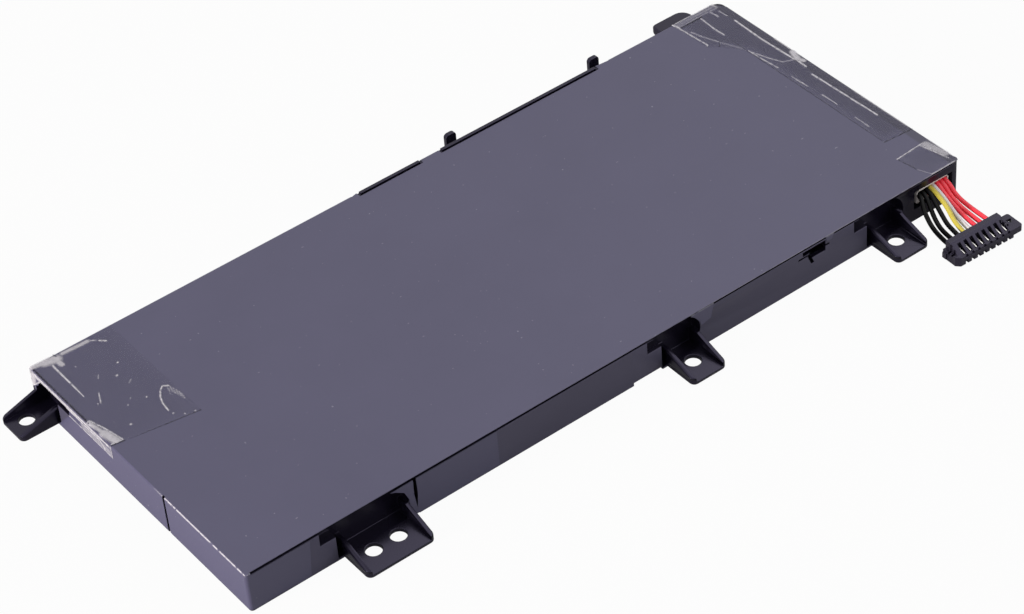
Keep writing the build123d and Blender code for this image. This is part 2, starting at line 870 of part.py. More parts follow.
def make_wire(name, index, bends):
    start_x = header_x + wire_offset(index) * header_pitch
    x = plug_wire_x(index)
    end = (plug_place * Pos(x, -plug_wire_insert, 0)).position
    entry = (plug_place * Pos(x, 0, 0)).position
    level = housing_front - bends[1]
    along = (level - entry.Y) / (entry.Y - end.Y)
    points = [
        Vector(start_x, housing_front + housing_wire_insert, housing_wire_z),
        Vector(start_x, housing_front - bends[0], housing_wire_z),
        Vector(entry.X + along * (entry.X - end.X), level, plug_wire_z),
        Vector(end.X, end.Y, plug_wire_z),
    ]
    radii = [bend_radius(*points[i:i + 3]) for i in range(len(bends))]
    path = FilletPolyline(*points, radius=radii)
    print(name, "bend radii", [round(radius, 2) for radius in radii], "length", round(path.length, 2))
    section = Plane(origin=path @ 0, z_dir=path % 0) * RegularPolygon(wire_radius, wire_sides)
    return sweep(section, path=path)


parts = {
    **make_frame(),
    "top_film": make_top_film(),
    "left_wall_film": make_left_film(),
    "back_wall_film": make_back_film(),
    "right_wall_film": make_right_film(),
    "front_corner_film": make_corner_film(),
    "front_film_patch": make_film_patch(),
    "front_film_tabs": make_film_tabs(),
    "left_corner_tape": make_left_tape(),
    "right_end_tape": make_end_tape(),
    "right_corner_tape": make_corner_tape(),
    "front_cell": make_cell(front_side),
    "back_cell": make_cell(back_side),
    "front_cell_adhesive": make_adhesive(front_side),
    "back_cell_adhesive": make_adhesive(back_side),
    "front_negative_tab": make_tab(front_side, front_side),
    "front_positive_tab": make_tab(front_side, back_side),
    "back_negative_tab": make_tab(back_side, front_side),
    "back_positive_tab": make_tab(back_side, back_side),
    "pack_negative_pad": make_plate(tab_middle(front_side, front_side), tab_middle(front_side, front_side)),
    "series_link": make_plate(tab_middle(front_side, back_side), tab_middle(back_side, front_side)),
    "pack_positive_pad": make_plate(tab_middle(back_side, back_side), tab_middle(back_side, back_side)),
    "front_tab_tape": make_tab_tape(front_side),
    "back_tab_tape": make_tab_tape(back_side),
    "circuit_board": make_board(),
    "gauge_chip": front_chip(gauge_chip_size, gauge_chip_from_front),
    "protector_chip": front_chip(protector_chip_size, protector_chip_from_front),
    "charge_switch": back_chip(switch_size, charge_switch_from_back),
    "discharge_switch": back_chip(switch_size, discharge_switch_from_back),
    "fuse": back_chip(fuse_size, fuse_from_back),
    "sense_resistor": front_chip(sense_resistor_size, sense_resistor_from_front),
    "capacitors": make_capacitors(),
    "resistors": make_resistors(),
    "thermistor": make_thermistor(),
    "board_foam_pad": make_foam(),
    "board_header": make_header(),
    "header_pins": make_pins(),
    "wire_housing": make_wire_housing(),
    "plug_housing": make_plug(),
    "plug_contacts": make_contacts(),
}
for wire_index, (wire_name, wire_bends) in enumerate(wire_routes):
    parts[wire_name] = make_wire(wire_name, wire_index, wire_bends)

os.makedirs("parts", exist_ok=True)
for node, solid in parts.items():
    export_step(solid, "parts/" + node + ".step")
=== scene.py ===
from itertools import combinations
from math import ceil, cos, exp, pi, radians, sin

import bmesh
import bpy
from mathutils import Matrix, Vector, noise


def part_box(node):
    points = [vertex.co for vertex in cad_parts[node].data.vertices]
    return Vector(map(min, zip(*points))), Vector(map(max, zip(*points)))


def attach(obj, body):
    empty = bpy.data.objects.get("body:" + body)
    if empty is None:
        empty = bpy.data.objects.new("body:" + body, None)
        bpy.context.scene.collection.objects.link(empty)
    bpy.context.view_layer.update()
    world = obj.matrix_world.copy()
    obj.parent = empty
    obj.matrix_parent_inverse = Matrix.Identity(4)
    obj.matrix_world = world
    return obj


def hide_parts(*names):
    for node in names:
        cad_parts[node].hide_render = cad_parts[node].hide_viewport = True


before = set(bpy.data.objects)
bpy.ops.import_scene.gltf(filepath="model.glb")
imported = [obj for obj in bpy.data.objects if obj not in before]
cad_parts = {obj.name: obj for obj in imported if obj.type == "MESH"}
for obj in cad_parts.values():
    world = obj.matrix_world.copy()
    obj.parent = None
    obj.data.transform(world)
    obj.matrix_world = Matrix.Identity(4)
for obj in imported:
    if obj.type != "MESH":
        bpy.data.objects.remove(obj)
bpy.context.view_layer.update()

# Frame rails and base sheet
# Six black rails stand round a thin base sheet. They are injection moulded, glossy in the ear pockets and
# finely textured on the outer walls, with rounded edges. Beyond the right ear the outer walls keep the dark
# pocket colour as painted shade. The film wrap holds them together.
MM = 0.001
RAILS = ("corner_rail", "end_rail", "front_rail", "exit_rail", "right_rail", "back_rail", "base_sheet")
RAIL_EDGE = 0.28 * MM
RAIL_EDGE_SHARE = 0.5
ROOM_SHARE = 0.42
CROSSING = 0.4
RUNNING_ON = -0.9
FACING_LEFT = -0.9
GUSSET_RISE = 3 * MM
MERGE_GAP = 0.002 * MM
ON_PLANE = 0.01 * MM
FLAT_TURN = radians(1)
ROUNDED_TURN = radians(25)
SHADED_TURN = radians(35)
EAR_CENTRES = (-63.5 * MM, 15.7 * MM, 73.0 * MM)
RAIL_DARK = (0.0028, 0.0022, 0.0055, 1)
RAIL_LIGHT = (0.0062, 0.0050, 0.0115, 1)
WALL_DARK = (0.052, 0.049, 0.076, 1)
WALL_LIGHT = (0.066, 0.062, 0.094, 1)
WALL_PLACES = (93.89 * MM, 39.89 * MM)
WALL_SHADE_START = 72 * MM
WALL_FADE = 2 * MM
WALL_BAND = (0.16 * MM, 0.10 * MM)
WALL_FACING = (0.8, 0.95)
WALL_ROUGH = 0.12
RAIL_SMOOTH = 0.19
RAIL_CLOUDY = 0.14
RAIL_GRAIN = 0.008 * MM
RAIL_GLOSS = 0.43
RAIL_TINT = (0.74, 0.68, 1.0, 1)
SLIT_HALF = 0.38 * MM
RAIL_JOINTS = {
    "corner_rail": ((0, -SLIT_HALF), (1, -SLIT_HALF)),
    "front_rail": ((0, SLIT_HALF),),
    "end_rail": ((1, SLIT_HALF),),
}
EAR_DRAFT = 0.2
EAR_ROOT = -40.3 * MM
EAR_PLATE = (1.7 * MM, 1.3 * MM)
CLOUD_SCALE = 90.0
CLOUD_PART = 0.6
GRAIN_SCALE = 2400.0
GRAIN_DEPTH = 0.02 * MM


class Signal:
    """One socket of a finish. Arithmetic on it adds Math nodes to that finish."""

    def __init__(self, tree, socket):
        self.tree = tree
        self.socket = socket

    def node(self, kind, inputs=None, settings=None, output=0):
        node = self.tree.nodes.new(kind)
        for name, value in (settings or {}).items():
            setattr(node, name, value)
        for key, value in (inputs or {}).items():
            if isinstance(value, Signal):
                self.tree.links.new(value.socket, node.inputs[key])
            else:
                node.inputs[key].default_value = value
        return Signal(self.tree, node.outputs[output])

    def maths(self, operation, *values):
        return self.node("ShaderNodeMath", dict(enumerate(values)), {"operation": operation})

    def __add__(self, other):
        return self.maths("ADD", self, other)

    def __sub__(self, other):
        return self.maths("SUBTRACT", self, other)

    def __rsub__(self, other):
        return self.maths("SUBTRACT", other, self)

    def __mul__(self, other):
        return self.maths("MULTIPLY", self, other)

    __radd__ = __add__
    __rmul__ = __mul__

    def larger(self, other):
        return self.maths("MAXIMUM", self, other)

    def size(self):
        return self.maths("ABSOLUTE", self)

    def rise(self, start, end):
        inputs = {"Value": self, "From Min": start, "From Max": end}
        return self.node("ShaderNodeMapRange", inputs, {"interpolation_type": "SMOOTHSTEP"})

    def blend(self, low, high):
        return self.node("ShaderNodeMix", {0: self, 6: low, 7: high}, {"data_type": "RGBA"}, 2)

    def clouds(self, scale, detail=3.0, roughness=0.5):
        inputs = {"Vector": self, "Scale": scale, "Detail": detail, "Roughness": roughness}
        return self.node("ShaderNodeTexNoise", inputs)

    def axis(self, index):
        return self.node("ShaderNodeSeparateXYZ", {0: self}, output=index)

    def bump(self, strength, distance):
        inputs = {"Strength": strength, "Distance": distance, "Height": self}
        return self.node("ShaderNodeBump", inputs)

    def into(self, shader, name):
        self.tree.links.new(self.socket, shader.inputs[name])


def new_finish(name):
    """A new finish: its material, its shader and the place on the piece."""
    material = bpy.data.materials.new(name)
    material.use_nodes = True
    tree = material.node_tree
    coordinates = tree.nodes.new("ShaderNodeTexCoord")
    return material, tree.nodes["Principled BSDF"], Signal(tree, coordinates.outputs["Object"])


def moulding_finish(name, dark, light, smooth, rough, grain_scale=GRAIN_SCALE, grain_depth=GRAIN_DEPTH):
    """Moulded plastic: slow colour clouds, a fine grain and a satin that varies with both."""
    material, shader, place = new_finish(name)
    grain = place.clouds(grain_scale)
    cloud = place.clouds(CLOUD_SCALE, 4.0)
    cloud.blend(dark, light).into(shader, "Base Color")
    (smooth + (rough - smooth) * (CLOUD_PART * cloud + (1 - CLOUD_PART) * grain)).into(shader, "Roughness")
    grain.bump(0.5, grain_depth).into(shader, "Normal")
    return material


def add_piece(name, mesh, material, slot, replaced):
    """Puts a finished mesh into the scene as a piece that stands for some CAD nodes."""
    piece = bpy.data.objects.new(name, mesh)
    bpy.context.scene.collection.objects.link(piece)
    piece.data.materials.append(material)
    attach(piece, "root")
    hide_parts(*replaced)
    return piece


def room_beside(side):
    """How wide an edge may be rounded before it meets the next edges of its two faces."""
    room = float("inf")
    way = (side.verts[1].co - side.verts[0].co).normalized()
    for loop in side.link_loops:
        for near in (loop.link_loop_prev.edge, loop.link_loop_next.edge):
            reach = way.cross(near.verts[1].co - near.verts[0].co).length
            if reach > CROSSING * near.calc_length():
                room = min(room, ROOM_SHARE * reach)
    return room


def even_out(copy, weight):
    """Gives edges that run on from one another the same rounding, the least of theirs."""
    settled = False
    while not settled:
        settled = True
        for vert in copy.verts:
            runs = [(side, (side.other_vert(vert).co - vert.co).normalized()) for side in vert.link_edges]
            for (one, way), (other, back) in combinations(runs, 2):
                if way.dot(back) < RUNNING_ON and one[weight] != other[weight]:
                    one[weight] = other[weight] = min(one[weight], other[weight])
                    settled = False


def softened(node, material, slot, edge, seams=(), joints=(), share=None):
    """A merged copy of a CAD node with rounded edges, left sharp on the planes where pieces meet.

    A joint gives the plane of an end face and how far that end stands back from it. Where share is given,
    it gives each edge its part of the full rounding.
    """
    copy = bmesh.new()
    copy.from_mesh(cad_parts[node].data)
    bmesh.ops.remove_doubles(copy, verts=copy.verts, dist=MERGE_GAP)
    bmesh.ops.dissolve_limit(copy, angle_limit=FLAT_TURN, verts=copy.verts, edges=copy.edges)
    weight = copy.edges.layers.float.new("bevel_weight_edge")
    for side in copy.edges:
        on_seam = any(all(abs(vert.co[axis] - value) < ON_PLANE for vert in side.verts)
                      for axis, value in seams)
        if side.calc_face_angle(0) > ROUNDED_TURN and not on_seam:
            side[weight] = min(share(side) if share else 1, room_beside(side) / edge)
    even_out(copy, weight)
    for axis, plane, shift in joints:
        for vert in copy.verts:
            if abs(vert.co[axis] - plane) < ON_PLANE:
                vert.co[axis] += shift
    for face in copy.faces:
        face.smooth = True
    mesh = bpy.data.meshes.new(node + "_shape")
    copy.to_mesh(mesh)
    copy.free()
    mesh.set_sharp_from_angle(angle=SHADED_TURN)
    piece = add_piece(node + "_shape", mesh, material, slot, [node])
    bevel = piece.modifiers.new("rounded edges", "BEVEL")
    bevel.limit_method = "WEIGHT"
    bevel.width = edge
    bevel.segments = 2
    bevel.use_clamp_overlap = False
    bevel.harden_normals = True
    return piece


def rail_rounding(side):
    """Full rounding on the inner edges of the ears' right gussets, and less on the other edges."""
    low, high = sorted((vert.co for vert in side.verts), key=lambda place: place.z)
    slopes = min(high.z - low.z, high.y - low.y) > GUSSET_RISE
    inner = any(face.normal.x < FACING_LEFT for face in side.link_faces)
    nearest = min(EAR_CENTRES, key=lambda centre: abs(centre - low.x))
    return 1 if slopes and inner and low.x > nearest else RAIL_EDGE_SHARE


foot_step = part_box("front_rail")[1].x
rail_seams = (
    (0, foot_step),
    (0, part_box("back_rail")[0].x),
    (0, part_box("right_rail")[0].x),
    (1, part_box("front_rail")[1].y),
    (1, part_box("right_rail")[1].y),
)
rail_slits = (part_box("front_rail")[0].x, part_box("end_rail")[0].y)


def rail_finish():
    """The rails' plastic. The ear plates fall away a little from the wall, as moulded plates do."""
    material, shader, place = new_finish("rail_plastic")
    cloud = place.clouds(CLOUD_SCALE, 4.0)
    facing = Signal(place.tree, place.tree.nodes["Texture Coordinate"].outputs["Normal"])
    outer = 0.0 * cloud
    for index, wall in enumerate(WALL_PLACES):
        level = (place.axis(index).size() - wall).size().rise(*WALL_BAND)
        outer = outer.larger(level * facing.axis(index).size().rise(*WALL_FACING))
    # Right of the right ear the lighter wall colour fades out, leaving the walls near the wire exit dark as
    # painted shade.
    outer = outer * place.axis(0).rise(WALL_SHADE_START + WALL_FADE, WALL_SHADE_START)
    colour = cloud.blend(RAIL_DARK, RAIL_LIGHT)
    outer.blend(colour, cloud.blend(WALL_DARK, WALL_LIGHT)).into(shader, "Base Color")
    (RAIL_SMOOTH + RAIL_CLOUDY * cloud + WALL_ROUGH * outer).into(shader, "Roughness")
    plate = place.axis(2).rise(*EAR_PLATE)
    draft = EAR_DRAFT * plate * (EAR_ROOT - place.axis(1)).larger(0.0)
    (RAIL_GRAIN * place.clouds(GRAIN_SCALE) - draft).bump(1.0, 1.0).into(shader, "Normal")
    shader.inputs["Specular IOR Level"].default_value = RAIL_GLOSS
    shader.inputs["Specular Tint"].default_value = RAIL_TINT
    return material


rail_plastic = rail_finish()
for rail in RAILS:
    slits = [(axis, rail_slits[axis], shift) for axis, shift in RAIL_JOINTS.get(rail, ())]
    softened(rail, rail_plastic, "rail_plastic", RAIL_EDGE, rail_seams, slits, rail_rounding)

# Pouch cells and the tape below them
# Each cell is a stack of electrodes sealed in a dull silver foil laminate, held to the base sheet by
# two strips of white double-sided tape.
FOIL_DARK = (0.48, 0.49, 0.52, 1)
FOIL_LIGHT = (0.66, 0.67, 0.70, 1)
ADHESIVE_DARK = (0.70, 0.70, 0.68, 1)
ADHESIVE_LIGHT = (0.82, 0.82, 0.80, 1)


def metal_finish(name, dark, light, scale, roughness, stretch=(1, 1, 1)):
    """Bare metal: drawn or rolled streaks in its colour and polish."""
    material, shader, place = new_finish(name)
    drawn = place.node("ShaderNodeMapping", {"Vector": place, "Scale": stretch})
    streak = drawn.clouds(scale, 4.0)
    streak.blend(dark, light).into(shader, "Base Color")
    (roughness + 0.2 * streak).into(shader, "Roughness")
    streak.bump(0.2, 0.01 * MM).into(shader, "Normal")
    shader.inputs["Metallic"].default_value = 1.0
    return material


def dress(material, *nodes):
    """Gives CAD nodes that keep their shape their finish."""
    for node in nodes:
        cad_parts[node].material_slots[0].material = material


dress(metal_finish("pouch_foil", FOIL_DARK, FOIL_LIGHT, scale=160.0, roughness=0.35),
      "front_cell", "back_cell")
dress(moulding_finish("adhesive", ADHESIVE_DARK, ADHESIVE_LIGHT, smooth=0.5, rough=0.7),
      "front_cell_adhesive", "back_cell_adhesive")

# Cell tabs, plates and tab tapes
# Rolled nickel and aluminium strips leave each cell's seal and are welded to nickel plates on the board,
# under a strip of amber insulating tape.
NICKEL_DARK = (0.50, 0.48, 0.44, 1)
NICKEL_LIGHT = (0.66, 0.64, 0.60, 1)
ALUMINIUM_DARK = (0.66, 0.66, 0.68, 1)
ALUMINIUM_LIGHT = (0.80, 0.80, 0.82, 1)
AMBER_DARK = (0.52, 0.25, 0.03, 1)
AMBER_LIGHT = (0.72, 0.40, 0.07, 1)
STREAK_SCALE = 900.0
ROLLED = (0.2, 1.0, 1.0)
dress(metal_finish("nickel", NICKEL_DARK, NICKEL_LIGHT, STREAK_SCALE, 0.25, ROLLED),
      "front_negative_tab", "back_negative_tab", "pack_negative_pad", "series_link", "pack_positive_pad")
dress(metal_finish("aluminium_tab", ALUMINIUM_DARK, ALUMINIUM_LIGHT, STREAK_SCALE, 0.3, ROLLED),
      "front_positive_tab", "back_positive_tab")
dress(moulding_finish("tab_tape", AMBER_DARK, AMBER_LIGHT, smooth=0.15, rough=0.3),
      "front_tab_tape", "back_tab_tape")

# Protection board and its parts
# A green glass-fibre board on two ledges carries the gauge and protection chips, two switches, a fuse,
# small ceramic parts and a dipped thermistor, with a foam pad between its chips and the film.
BOARD_DARK = (0.010, 0.070, 0.038, 1)
BOARD_LIGHT = (0.022, 0.115, 0.062, 1)
CHIP_DARK = (0.010, 0.010, 0.011, 1)
CHIP_LIGHT = (0.020, 0.020, 0.022, 1)
FUSE_DARK = (0.56, 0.53, 0.46, 1)
FUSE_LIGHT = (0.68, 0.65, 0.58, 1)
CERAMIC_DARK = (0.30, 0.21, 0.13, 1)
CERAMIC_LIGHT = (0.42, 0.32, 0.21, 1)
BEAD_DARK = (0.012, 0.011, 0.010, 1)
BEAD_LIGHT = (0.030, 0.026, 0.022, 1)
FOAM_DARK = (0.010, 0.010, 0.011, 1)
FOAM_LIGHT = (0.035, 0.035, 0.038, 1)
dress(moulding_finish("board_laminate", BOARD_DARK, BOARD_LIGHT, smooth=0.25, rough=0.4), "circuit_board")
dress(moulding_finish("chip_resin", CHIP_DARK, CHIP_LIGHT, smooth=0.45, rough=0.65),
      "gauge_chip", "protector_chip", "charge_switch", "discharge_switch", "sense_resistor", "resistors")
dress(moulding_finish("fuse_body", FUSE_DARK, FUSE_LIGHT, smooth=0.5, rough=0.7), "fuse")
dress(moulding_finish("capacitor_ceramic", CERAMIC_DARK, CERAMIC_LIGHT, smooth=0.4, rough=0.6),
      "capacitors")
dress(moulding_finish("thermistor_resin", BEAD_DARK, BEAD_LIGHT, smooth=0.2, rough=0.35), "thermistor")
dress(moulding_finish("foam", FOAM_DARK, FOAM_LIGHT, smooth=0.8, rough=0.95, grain_scale=1500.0,
                      grain_depth=0.15 * MM), "board_foam_pad")

# Board header and wire housing
# An off-white moulded header stands on the board, and the housing with the eight crimped wires is pushed
# onto its brass pins in the wire exit.
HEADER_DARK = (0.66, 0.60, 0.58, 1)
HEADER_LIGHT = (0.80, 0.75, 0.74, 1)
HEADER_EDGE = 0.12 * MM
BRASS_DARK = (0.52, 0.40, 0.18, 1)
BRASS_LIGHT = (0.70, 0.58, 0.32, 1)
header_plastic = moulding_finish("header_plastic", HEADER_DARK, HEADER_LIGHT, smooth=0.35, rough=0.5)
softened("board_header", header_plastic, "header_plastic", HEADER_EDGE)
softened("wire_housing", header_plastic, "header_plastic", HEADER_EDGE)
dress(metal_finish("pin_metal", BRASS_DARK, BRASS_LIGHT, STREAK_SCALE, 0.25), "header_pins")

# Wires
# Eight fine stranded wires in soft insulation leave the housing, drop over the sill and fan out to the
# plug: three black, one yellow, one white and three red.
WIRE_RADIUS = 0.53 * MM
INSULATION_GRAIN = 3000.0
BLACK_GLOSS = 0.14
WIRE_ROUTES = {
    "black_wire_1": ((82.85, -37.6, 6.5), (82.6, -40.2, 6.3), (81.2, -42.6, 4.6), (81.2, -44.4, 2.2),
                     (80.7, -46.7, 1.5), (79.6, -50.3, 2.0), (78.81, -52.94, 2.7), (78.74, -54.5, 2.7)),
    "black_wire_2": ((83.95, -37.6, 6.5), (83.8, -40.4, 6.2), (83.1, -42.8, 4.0), (82.7, -44.5, 2.5),
                     (82.1, -46.7, 1.7), (81.3, -49.9, 1.9), (80.5, -53.0, 2.7), (80.43, -54.6, 2.7)),
    "black_wire_3": ((85.05, -37.6, 6.5), (84.9, -40.6, 6.3), (84.1, -43.8, 4.6), (83.8, -45.6, 3.5),
                     (83.3, -47.7, 2.6), (82.7, -50.6, 2.6), (82.19, -53.08, 2.7), (82.12, -54.7, 2.7)),
    "yellow_wire": ((86.15, -37.6, 6.5), (85.9, -41.1, 6.2), (85.4, -44.1, 5.7), (85.0, -46.3, 4.8),
                    (84.7, -48.2, 3.3), (84.2, -51.2, 2.6), (83.88, -53.15, 2.7), (83.81, -54.7, 2.7)),
    "white_wire": ((87.25, -37.6, 6.5), (87.0, -41.3, 5.7), (86.6, -45.1, 4.2), (86.2, -48.0, 3.0),
                   (85.8, -51.2, 2.5), (85.57, -53.22, 2.7), (85.5, -54.8, 2.7)),
    "red_wire_1": ((88.35, -37.6, 6.5), (88.3, -39.6, 6.2), (88.2, -41.8, 4.6), (87.9, -45.1, 3.6),
                   (87.6, -48.5, 2.9), (87.4, -51.8, 2.6), (87.25, -53.29, 2.7), (87.18, -54.9, 2.7)),
    "red_wire_2": ((89.45, -37.6, 6.5), (89.4, -40.2, 6.0), (89.3, -42.2, 4.2), (89.2, -45.7, 2.9),
                   (89.0, -51.7, 2.6), (88.94, -53.36, 2.7), (88.87, -55.0, 2.7)),
    "red_wire_3": ((90.55, -37.6, 6.5), (90.6, -40.5, 5.8), (90.6, -42.6, 3.8), (90.6, -46.0, 3.0),
                   (90.6, -51.8, 2.8), (90.63, -53.43, 2.7), (90.56, -55.0, 2.7)),
}
INSULATION_COLOURS = {
    "black": ((0.0010, 0.0010, 0.0013, 1), (0.0025, 0.0025, 0.003, 1)),
    "yellow": ((0.52, 0.42, 0.05, 1), (0.68, 0.57, 0.09, 1)),
    "white": ((0.66, 0.60, 0.62, 1), (0.80, 0.76, 0.78, 1)),
    "red": ((0.80, 0.030, 0.052, 1), (0.95, 0.050, 0.080, 1)),
}


def wire_curve(name, points):
    """A wire as one smooth spline through its route."""
    curve = bpy.data.curves.new(name, "CURVE")
    curve.dimensions = "3D"
    curve.bevel_depth = WIRE_RADIUS
    curve.bevel_resolution = 6
    curve.resolution_u = 12
    curve.use_fill_caps = True
    spline = curve.splines.new("NURBS")
    spline.points.add(len(points) - 1)
    for knot, (x, y, z) in zip(spline.points, points):
        knot.co = (x * MM, y * MM, z * MM, 1)
    spline.order_u = 3
    spline.use_endpoint_u = True
    return curve


insulation = {}
for colour, (dark, light) in INSULATION_COLOURS.items():
    insulation[colour] = moulding_finish(colour + "_insulation", dark, light, smooth=0.3, rough=0.45,
                                         grain_scale=INSULATION_GRAIN)
black_shader = insulation["black"].node_tree.nodes["Principled BSDF"]
black_shader.inputs["Specular IOR Level"].default_value = BLACK_GLOSS
for wire, route in WIRE_ROUTES.items():
    colour = wire.split("_")[0]
    add_piece(wire + "_lead", wire_curve(wire, route), insulation[colour], colour + "_insulation", [wire])

# Plug and its contacts
# A black moulded plug with a sloping roof, a toothed front edge and one eyed flange. Eight bright plated
# blades stand in its slots.
PLUG_DARK = (0.0075, 0.0062, 0.0110, 1)
PLUG_LIGHT = (0.0150, 0.0130, 0.0210, 1)
PLUG_GLOSS = 0.42
PLUG_EDGE = 0.1 * MM
BLADE_DARK = (0.30, 0.29, 0.27, 1)
BLADE_LIGHT = (0.95, 0.93, 0.90, 1)
BLADE_THICKNESS = 0.5 * MM
BLADE_SLIM = 0.4
BLADE_REAR = 0.66
PLUG_PITCH = 1.69 * MM
PLUG_ROW = Vector((11.82, -0.49, 0)).normalized()
plug_plastic = moulding_finish("plug_plastic", PLUG_DARK, PLUG_LIGHT, smooth=0.28, rough=0.42)
plug_shader = plug_plastic.node_tree.nodes["Principled BSDF"]
plug_shader.inputs["Specular IOR Level"].default_value = PLUG_GLOSS
plug_shader.inputs["Specular Tint"].default_value = RAIL_TINT
softened("plug_housing", plug_plastic, "plug_plastic", PLUG_EDGE)
blades = bmesh.new()
blades.from_mesh(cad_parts["plug_contacts"].data)
bmesh.ops.remove_doubles(blades, verts=blades.verts, dist=MERGE_GAP)
first_blade = min(vert.co.dot(PLUG_ROW) for vert in blades.verts) + BLADE_THICKNESS / 2
blade_low, blade_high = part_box("plug_contacts")
blade_middle = (blade_low.y + blade_high.y) / 2
for vert in blades.verts:
    if vert.co.y > blade_middle:
        vert.co.z = blade_low.z + BLADE_REAR * (vert.co.z - blade_low.z)
    across = vert.co.dot(PLUG_ROW) - first_blade
    across -= round(across / PLUG_PITCH) * PLUG_PITCH
    vert.co -= (1 - BLADE_SLIM) * across * PLUG_ROW
blade_mesh = bpy.data.meshes.new("plug_blades")
blades.to_mesh(blade_mesh)
blades.free()
contact_metal = metal_finish("contact_metal", BLADE_DARK, BLADE_LIGHT, STREAK_SCALE, 0.18)
add_piece("plug_blades", blade_mesh, contact_metal, "contact_metal", ["plug_contacts"])

# Film wrap
# A charcoal plastic film lies over the cells and is folded down the left, back and right walls and round
# the front left corner. It is stuck down and its cut edges waver. Its folds and front edge are rubbed pale
# with a painted highlight.
FILM_THICKNESS = 0.11 * MM
FILM_FOLD = 0.35 * MM
FILM_CORNER = 0.8 * MM
FILM_DARK = (0.057, 0.053, 0.101, 1)
FILM_LIGHT = (0.074, 0.069, 0.124, 1)
FILM_MARGIN_SHADE = (0.036, 0.033, 0.058, 1)
FILM_RUB_HIGHLIGHT = (0.50, 0.48, 0.52, 1)
FILM_SPECK = (0.30, 0.29, 0.34, 1)
HEM_STEP = 0.9 * MM
HEM_LIMIT = 9 * MM
HEM_LEVEL = 0.001 * MM
HEM_WAVES = ((0.22 * MM, 160), (0.10 * MM, 620))
LEFT_FACE = -94 * MM
LEFT_SKIN = 0.1 * MM
FRONT_FACE = -40 * MM
FILM_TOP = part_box("top_film")[1].z
FOLD_BAND = (FILM_TOP - 0.36 * MM, FILM_TOP - 0.22 * MM)
LEFT_RUB_HIGHLIGHT_EDGE = -93.78 * MM
LEFT_RUB_HIGHLIGHT_WIDTH = 0.06 * MM
LEFT_RUB_HIGHLIGHT_ENDS = (-6 * MM, -14 * MM)
FRONT_RUB_HIGHLIGHT_EDGE = -39.75 * MM
FRONT_RUB_HIGHLIGHT_WIDTH = 0.15 * MM
FRONT_RUB_HIGHLIGHT_SHARE = 0.35
RUB_HIGHLIGHT_LEVELS = (0.34, 0.52)
SPECK_LEVELS = (0.85, 0.87)
MARGIN_SHADE_BAND = (91.2 * MM, 91.9 * MM)
GROOVE_BOTTOM = 9.63
WRAP_OUTLINE = ((-94, -40), (-92.8, -40), (93.2, -40), (93.77, -39.77), (94, -39.2), (94, -37), (94, 36.6),
                (92.6, 38.8), (91.2, 40), (90.6, 40), (79.2, 40), (60.9, 40), (57.1, 40), (57.1, 38.6),
                (12.2, 38.6), (12.2, 40), (7.2, 40), (7.2, 38.6), (-10.1, 38.6), (-10.1, 40), (-11.6, 40),
                (-94, 40), (-94, 38.7), (-94, 21.4), (-94, -10.6), (-94, -11.4))
WRAP_FOLDS = {5: 0.4, 9: 6.0, 10: 0.4, 15: 8.4, 20: 0.4, 21: 5.4, 22: 8.8, 23: 0.5, 25: 0.5}
EAR_FILMS = (((21.4, 0.5), (31.0, 0.5), (28.4, 3.4), (25.2, 6.7), (24.6, 8.8), (21.4, 8.8)),
             ((36.2, 8.8), (37.4, 6.9), (38.7, 5.9), (38.7, 8.8)))
CORNER_FLAP = ((-79.6, 0.5), (-78.8, GROOVE_BOTTOM), (-92.8, GROOVE_BOTTOM))


def film_finish():
    """Satin film: mottled, faintly grained and specked, with folds and front edge rubbed pale with a
    painted highlight, and a right margin darkened as painted shade.
    """
    material, shader, place = new_finish("film")
    mottle = place.clouds(45.0, 5.0, 0.6)
    grain = place.clouds(2200.0, 2.0)
    specks = place.clouds(1500.0, 0.0).rise(*SPECK_LEVELS)
    along, across, height = (place.axis(index) for index in range(3))
    upper = height.rise(*FOLD_BAND)
    # Pale lines along the left fold and the front edge: rubbed wear and a painted highlight.
    left_fold = (LEFT_RUB_HIGHLIGHT_EDGE - along).rise(0, LEFT_RUB_HIGHLIGHT_WIDTH) * across.rise(*LEFT_RUB_HIGHLIGHT_ENDS)
    front_edge = FRONT_RUB_HIGHLIGHT_SHARE * (FRONT_RUB_HIGHLIGHT_EDGE - across).rise(0, FRONT_RUB_HIGHLIGHT_WIDTH)
    rub_and_highlight = upper * left_fold.larger(front_edge) * place.clouds(700.0, 3.0).rise(*RUB_HIGHLIGHT_LEVELS)
    # Painted shade: the film's top is darkened over its right margin, above the right rail.
    margin_shade = upper * along.rise(*MARGIN_SHADE_BAND)
    colour = mottle.blend(FILM_DARK, FILM_LIGHT)
    colour = (0.8 * margin_shade).blend(colour, FILM_MARGIN_SHADE)
    colour = (0.5 * specks).blend(colour, FILM_SPECK)
    (0.8 * rub_and_highlight).blend(colour, FILM_RUB_HIGHLIGHT).into(shader, "Base Color")
    (0.36 + 0.10 * mottle + 0.06 * grain).into(shader, "Roughness")
    (0.25 * grain + 2.0 * place.clouds(28.0, 2.0)).bump(0.3, 0.03 * MM).into(shader, "Normal")
    return material


def waver_hems(sheet):
    """Gives the level cut edges down the walls the small waver of a hand-laid film."""
    hems = [edge for edge in sheet.edges if edge.is_boundary and edge.calc_length() > 2 * HEM_STEP
            and all(vert.co.z < HEM_LIMIT for vert in edge.verts)
            and abs(edge.verts[0].co.z - edge.verts[1].co.z) < HEM_LEVEL]
    for hem in hems:
        cut = bmesh.ops.subdivide_edges(sheet, edges=[hem], cuts=round(hem.calc_length() / HEM_STEP))
        for vert in cut["geom_inner"]:
            if isinstance(vert, bmesh.types.BMVert):
                vert.co.z += sum(height * noise.noise(vert.co * pitch) for height, pitch in HEM_WAVES)


